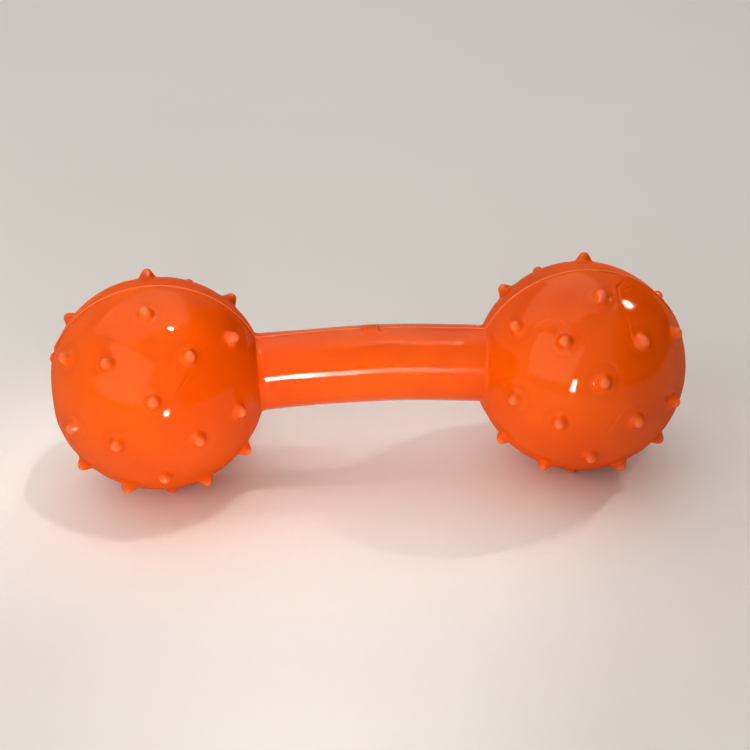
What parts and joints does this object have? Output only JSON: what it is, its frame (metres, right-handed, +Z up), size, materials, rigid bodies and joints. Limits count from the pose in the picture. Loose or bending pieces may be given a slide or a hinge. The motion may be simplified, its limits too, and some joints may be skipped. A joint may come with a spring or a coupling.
{
  "type": "baby rattle",
  "caption": "Soft dumbbell rattle with a nubbed hollow ball at each end of a round handle, a plugged end port and loose pellets in a hard capsule inside each ball.",
  "frame": {"origin": "the middle of the handle, on its axis and on the parting plane", "axes": "+X along the handle, away from the ball with the plug; +Z up, on the parting plane, to the side of the handle with the moulding stub; the front half shell is at -Y"},
  "size_m": [0.1312, 0.045, 0.0452],
  "materials": {
    "shell_vinyl": "glossy soft vinyl, any bright colour",
    "plug_vinyl": "glossy soft vinyl",
    "capsule_plastic": "natural satin plastic",
    "pellet_plastic": "smooth glossy plastic"
  },
  "bodies": {
    "rattle": {"front_shell": "shell_vinyl", "rear_shell": "shell_vinyl", "end_plug": "plug_vinyl", "left_capsule_cup": "capsule_plastic", "left_capsule_lid": "capsule_plastic", "right_capsule_cup": "capsule_plastic", "right_capsule_lid": "capsule_plastic"},
    "left_pellet_1": {"left_pellet_1": "pellet_plastic"},
    "left_pellet_2": {"left_pellet_2": "pellet_plastic"},
    "left_pellet_3": {"left_pellet_3": "pellet_plastic"},
    "left_pellet_4": {"left_pellet_4": "pellet_plastic"},
    "left_pellet_5": {"left_pellet_5": "pellet_plastic"},
    "right_pellet_1": {"right_pellet_1": "pellet_plastic"},
    "right_pellet_2": {"right_pellet_2": "pellet_plastic"},
    "right_pellet_3": {"right_pellet_3": "pellet_plastic"},
    "right_pellet_4": {"right_pellet_4": "pellet_plastic"},
    "right_pellet_5": {"right_pellet_5": "pellet_plastic"}
  },
  "joints": [
    {"name": "left_pellet_1_roll", "type": "hinge", "parent": "rattle", "child": "left_pellet_1", "pos_m": [-0.044, 0, 0], "axis": [1, 0, 0], "continuous": true},
    {"name": "left_pellet_2_roll", "type": "hinge", "parent": "rattle", "child": "left_pellet_2", "pos_m": [-0.044, 0, 0], "axis": [1, 0, 0], "continuous": true},
    {"name": "left_pellet_3_roll", "type": "hinge", "parent": "rattle", "child": "left_pellet_3", "pos_m": [-0.044, 0, 0], "axis": [1, 0, 0], "continuous": true},
    {"name": "left_pellet_4_roll", "type": "hinge", "parent": "rattle", "child": "left_pellet_4", "pos_m": [-0.044, 0, 0], "axis": [1, 0, 0], "continuous": true},
    {"name": "left_pellet_5_roll", "type": "hinge", "parent": "rattle", "child": "left_pellet_5", "pos_m": [-0.044, 0, 0], "axis": [1, 0, 0], "continuous": true},
    {"name": "right_pellet_1_roll", "type": "hinge", "parent": "rattle", "child": "right_pellet_1", "pos_m": [0.044, 0, 0], "axis": [1, 0, 0], "continuous": true},
    {"name": "right_pellet_2_roll", "type": "hinge", "parent": "rattle", "child": "right_pellet_2", "pos_m": [0.044, 0, 0], "axis": [1, 0, 0], "continuous": true},
    {"name": "right_pellet_3_roll", "type": "hinge", "parent": "rattle", "child": "right_pellet_3", "pos_m": [0.044, 0, 0], "axis": [1, 0, 0], "continuous": true},
    {"name": "right_pellet_4_roll", "type": "hinge", "parent": "rattle", "child": "right_pellet_4", "pos_m": [0.044, 0, 0], "axis": [1, 0, 0], "continuous": true},
    {"name": "right_pellet_5_roll", "type": "hinge", "parent": "rattle", "child": "right_pellet_5", "pos_m": [0.044, 0, 0], "axis": [1, 0, 0], "continuous": true}
  ]
}
